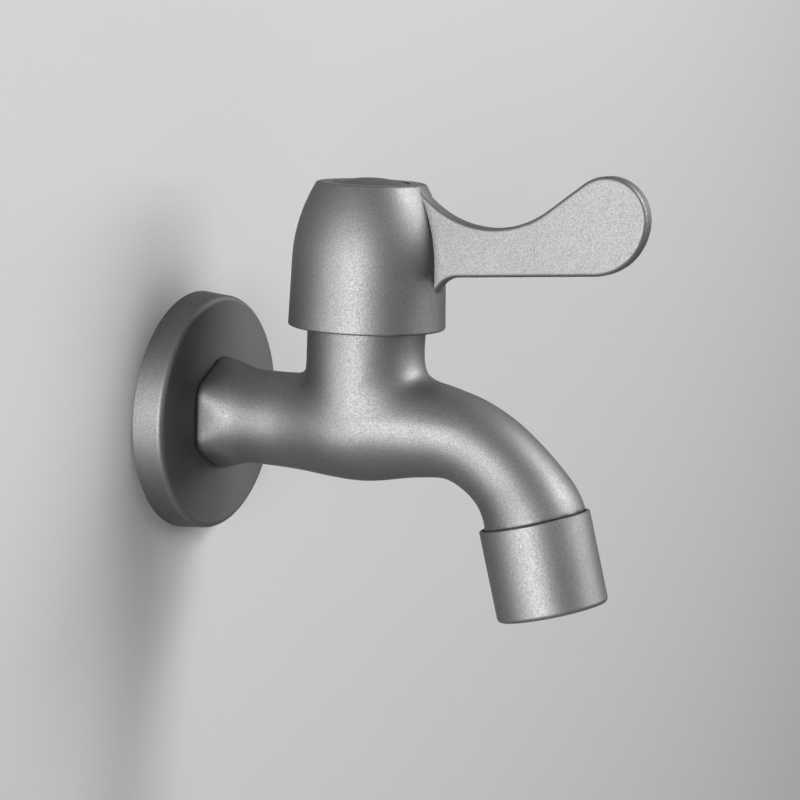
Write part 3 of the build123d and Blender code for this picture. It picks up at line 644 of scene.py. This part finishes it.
def lamp(name, watts, azimuth, elevation, distance, width, height):
    """A soft area lamp, seen from the tap at an azimuth and an elevation, in degrees."""
    light = bpy.data.lights.new(name, "AREA")
    light.shape = "RECTANGLE"
    light.size = width
    light.size_y = height
    light.energy = watts
    way = bearing(math.radians(azimuth), math.radians(elevation))
    holder = bpy.data.objects.new(name, light)
    turn = way.to_track_quat("Z", "Y").to_matrix().to_4x4()
    holder.matrix_world = Matrix.Translation(MIDDLE + way * distance) @ turn
    holder.visible_camera = False
    bpy.context.scene.collection.objects.link(holder)


class TAP_OT_stage(Operator):
    """Stage: wall, floor, lamps, surrounding light and camera."""

    bl_idname = "tap.stage"
    bl_label = "Stage"

    def execute(self, context):
        stage = context.scene.tap_stage
        # Painted shade: the wall's colour is painted a little darker towards the right of the view, for light
        # falling off
        wall = matt_paint("Emulsion paint, rolled wall", stage.wall, painted_shade_rate=(0, -0.35, 0), one_sided=True)
        floor = matt_paint("Emulsion paint, rolled floor", stage.floor, ground=0.45)
        upright = Matrix.Translation((-0.1 * MM, 0, 1.2)) @ Matrix.Rotation(math.pi / 2, 4, "Y")
        panel("wall", 4.0, upright, wall)
        panel("floor", 24.0, Matrix.Translation((12.0, 0, -0.8)), floor)
        lamp("key_lamp", stage.key, azimuth=-4, elevation=-1, distance=0.75, width=0.7, height=0.45)
        lamp("side_lamp", stage.side, azimuth=117, elevation=26, distance=0.9, width=0.6, height=0.8)
        lamp("spot_lamp", stage.spot, azimuth=109, elevation=41, distance=1.0, width=0.25, height=0.25)
        lamp("back_lamp", stage.back, azimuth=205, elevation=35, distance=1.5, width=1.5, height=1.2)
        world = bpy.data.worlds.new("surroundings")
        world.use_nodes = True
        tree = world.node_tree
        sky = tree.nodes["Background"]
        sky.inputs["Color"].default_value = (1, 1, 1, 1)
        # The surroundings look paler, also in the metal, than the light they give
        paler = {"operation": "MULTIPLY_ADD", 1: stage.backdrop - stage.fill, 2: stage.fill}
        strength = add(tree, "ShaderNodeMath", paler, {0: looked_at(tree)}).outputs["Value"]
        tree.links.new(strength, sky.inputs["Strength"])
        context.scene.world = world
        context.scene.view_settings.view_transform = "Standard"
        view = bpy.data.cameras.new("camera")
        view.sensor_width = 36
        view.lens = CAMERA_LENS
        view.clip_start = 0.01
        view.clip_end = 20
        camera = bpy.data.objects.new("camera", view)
        context.scene.collection.objects.link(camera)
        azimuth, elevation, roll = CAMERA_TURN
        right = Vector((math.cos(azimuth), math.sin(azimuth), 0))
        back = bearing(azimuth, elevation)
        up = back.cross(right)
        across = math.cos(roll) * right + math.sin(roll) * up
        upward = math.cos(roll) * up - math.sin(roll) * right
        turn = Matrix((across, upward, back)).transposed().to_4x4()
        camera.matrix_world = Matrix.Translation(CAMERA_PLACE) @ turn
        context.scene.camera = camera
        return {"FINISHED"}


class TAP_PT_panel(Panel):
    """The tap's pieces and stage, in the order they are made."""

    bl_idname = "TAP_PT_panel"
    bl_label = "Basin tap"
    bl_space_type = "VIEW_3D"
    bl_region_type = "UI"
    bl_category = "Tap"

    def draw(self, context):
        for group in (context.scene.tap_finish, context.scene.tap_sizes, context.scene.tap_stage):
            box = self.layout.box()
            for name in group.__annotations__:
                box.prop(group, name)
        for operator in OPERATORS:
            self.layout.operator(operator.bl_idname)


GROUPS = {"tap_finish": TapFinish, "tap_sizes": TapSizes, "tap_stage": TapStage}
OPERATORS = (
    TAP_OT_stage,
    TAP_OT_body_casting,
    TAP_OT_threads,
    TAP_OT_flange,
    TAP_OT_handle,
    TAP_OT_aerator,
    TAP_OT_cartridge,
)


def register():
    for part in (*GROUPS.values(), *OPERATORS, TAP_PT_panel):
        bpy.utils.register_class(part)
    for name, group in GROUPS.items():
        setattr(bpy.types.Scene, name, PointerProperty(type=group))


def unregister():
    for name in GROUPS:
        delattr(bpy.types.Scene, name)
    for part in reversed((*GROUPS.values(), *OPERATORS, TAP_PT_panel)):
        bpy.utils.unregister_class(part)


def main():
    register()
    bpy.ops.tap.stage()
    bpy.ops.tap.body_casting()
    bpy.ops.tap.threads()
    bpy.ops.tap.flange()
    bpy.ops.tap.handle()
    bpy.ops.tap.aerator()
    bpy.ops.tap.cartridge()


if __name__ == "__main__":
    main()
